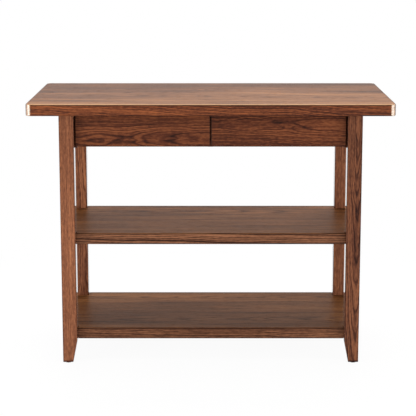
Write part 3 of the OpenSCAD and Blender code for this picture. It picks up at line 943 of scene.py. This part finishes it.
def dress(nodes, material):
    """Gives some nodes of the measured model a material."""
    for node in nodes:
        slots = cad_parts[node].data.materials
        slots.clear()
        slots.append(material)


for side_number, side in enumerate(("left", "right")):
    for part_number, (part, (grain, wide)) in enumerate(box_parts.items()):
        node = f"{side}_drawer_{part}"
        seed = BOX_SEED + SIDE_SEED_STEP * side_number + part_number
        inner_wood = oak("pale wood " + node, *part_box(node), grain, wide, INNER_TONES,
                         pith=(0.02, 0.11), seed=seed, contrast=0.3, slope=(0.0, 0.03),
                         streaks=0.3, pores=0.25, arris=0.1, rough=0.5)
        dress([node], inner_wood)

# %% [markdown]
# What is left is hardware: slides with a black coat, zinc-plated screws and fittings, beech
# dowels and nylon glides. Each is a small graph with a fine grain of its own.

# %% Hardware
SPECKLE_DEPTH = 0.00005


def fine_material(name, dark, light, scale, rough, metallic=0.0):
    """A plain material whose colour, gloss and surface vary finely."""
    material, tree, shader = new_material(name)
    coordinates = add(tree, "TexCoord").outputs["Object"]
    inputs = {"Vector": coordinates, "Scale": [scale] * 3}
    speckle = noise(tree, add(tree, "Mapping", inputs).outputs[0], 4.0, 0.6)
    colour = ramp(tree, speckle, [(0.3, dark), (0.7, light)])
    tree.links.new(colour, shader.inputs["Base Color"])
    dull = turn(tree, speckle, 0.3, 0.7, rough - 0.06, rough + 0.08)
    tree.links.new(dull, shader.inputs["Roughness"])
    relief = add(tree, "Bump", {"Height": speckle, "Distance": SPECKLE_DEPTH, "Strength": 0.5})
    tree.links.new(relief.outputs[0], shader.inputs["Normal"])
    shader.inputs["Metallic"].default_value = metallic
    return material


black_coat = fine_material("black coat", linear(20, 20, 21), linear(34, 34, 35), 900, 0.42)
zinc = fine_material("zinc plate", linear(150, 150, 146), linear(196, 196, 190), 400, 0.34, 1.0)
beech = fine_material("beech", linear(176, 134, 92), linear(206, 168, 124), 300, 0.55)
nylon = fine_material("nylon", linear(26, 24, 23), linear(44, 41, 38), 700, 0.5)
slide_members = [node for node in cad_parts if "_slide_" in node]
dress(slide_members, black_coat)
dress(["cam_bolts", "cam_locks", "top_brackets", "bracket_screws", "top_screws", "slide_screws",
       "left_drawer_screws", "right_drawer_screws"], zinc)
dress(["frame_dowels", "left_drawer_dowels", "right_drawer_dowels"], beech)
dress(["foot_glides"], nylon)
print("slide members:", len(slide_members))

# %% [markdown]
# The room is a plain studio. A large soft lamp hangs overhead and another stands high in
# front. A low one at each side draws the bright line down the round corners of the top and
# reaches under it to the legs and the drawers. The last one, high behind the island, lights
# the shelves and the back. It isn't mirrored in the wood, so that the top keeps its grain.

# %% Lamps
def lamp(name, place, aim, size, power):
    """A soft rectangular lamp that the camera doesn't see."""
    data = bpy.data.lights.new(name, "AREA")
    data.shape = "RECTANGLE"
    data.size, data.size_y = size
    data.energy = power
    made = bpy.data.objects.new(name, data)
    made.location = place
    made.rotation_euler = (Vector(aim) - Vector(place)).to_track_quat("-Z", "Y").to_euler()
    made.visible_camera = False
    bpy.context.collection.objects.link(made)
    print(f"{name}: {power} watts")
    return made


lamp("overhead lamp", (0, -0.4, 3.0), (0, 0, 0.5), (3.0, 2.2), 58)
lamp("front lamp", (0, -3.4, 2.0), (0, 0, 0.5), (3.0, 1.2), 26)
lamp("left lamp", (-2.2, -1.45, 0.60), (-0.3, 0, 0.30), (1.6, 0.8), 31)
lamp("right lamp", (2.2, -1.45, 0.60), (0.3, 0, 0.30), (1.6, 0.8), 26)
rear_lamp = lamp("rear lamp", (0, 2.1, 2.0), (0, 0, 0.4), (3.2, 1.4), 80)
rear_lamp.visible_glossy = False

# %% [markdown]
# The background is white because the camera sees it as white, not because it is lit more: the
# world shows white to the camera, and a softer grey light to the wood.

# %% World
WORLD_LIGHT = 0.3


def white_rays(tree):
    """1 for the rays that see the white background: the camera's, and those in metal and glass."""
    rays = add(tree, "LightPath").outputs
    seen = calc(tree, "MAXIMUM", rays["Is Camera Ray"], rays["Is Glossy Ray"])
    return calc(tree, "MAXIMUM", seen, rays["Is Transmission Ray"])


world = bpy.data.worlds.new("studio")
bpy.context.scene.world = world
world.use_nodes = True
tree = world.node_tree
tree.nodes.clear()
soft = add(tree, "Background", {"Color": grey(1.0), "Strength": WORLD_LIGHT})
white = add(tree, "Background", {"Color": grey(1.0), "Strength": 1.0})
both = add(tree, "MixShader", {0: white_rays(tree), 1: soft.outputs[0], 2: white.outputs[0]})
add(tree, "OutputWorld", {0: both.outputs[0]})
bpy.context.scene.view_settings.view_transform = "Standard"
print("the world's light on the wood:", WORLD_LIGHT)

# %% [markdown]
# The floor is a pale surface near the island, where it takes the shadow, and fades into the
# white around it.

# %% Floor
FLOOR_HALF = 14.0
FLOOR_GREY = 0.86
# The fade is an oval, longer to the sides than to the front and back
FLOOR_OVAL = (0.8, 1.25, 1.0)
FLOOR_FADE = (0.75, 1.7)
WHITE_NEAR, WHITE_FAR = 0.95, 1.0

floor_mesh = bmesh.new()
bmesh.ops.create_grid(floor_mesh, x_segments=1, y_segments=1, size=FLOOR_HALF)
floor_data = bpy.data.meshes.new("floor")
floor_mesh.to_mesh(floor_data)
floor_mesh.free()
floor = bpy.data.objects.new("floor", floor_data)
bpy.context.collection.objects.link(floor)
floor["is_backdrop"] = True

floor_material, tree, shader = new_material("pale floor")
shader.inputs["Base Color"].default_value = grey(FLOOR_GREY)
shader.inputs["Roughness"].default_value = 0.8
shader.inputs["Specular IOR Level"].default_value = 0.1
place = add(tree, "TexCoord").outputs["Object"]
oval = add(tree, "Mapping", {"Vector": place, "Scale": FLOOR_OVAL}).outputs[0]
distance = add(tree, "VectorMath", {0: oval}, operation="LENGTH").outputs["Value"]
shown = times(tree, turn(tree, distance, *FLOOR_FADE, WHITE_NEAR, WHITE_FAR), white_rays(tree))
glow = add(tree, "Emission", {"Color": grey(1.0), "Strength": 1.0})
both = add(tree, "MixShader", {0: shown, 1: shader.outputs[0], 2: glow.outputs[0]})
tree.links.new(both.outputs[0], tree.nodes["Material Output"].inputs[0])
floor_data.materials.append(floor_material)
print("the floor is white from", FLOOR_FADE[1] / FLOOR_OVAL[0], "m to either side")

# %% [markdown]
# Last, the bounds of the dressed island are found, without the floor.

# %% Sizes
low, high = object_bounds()
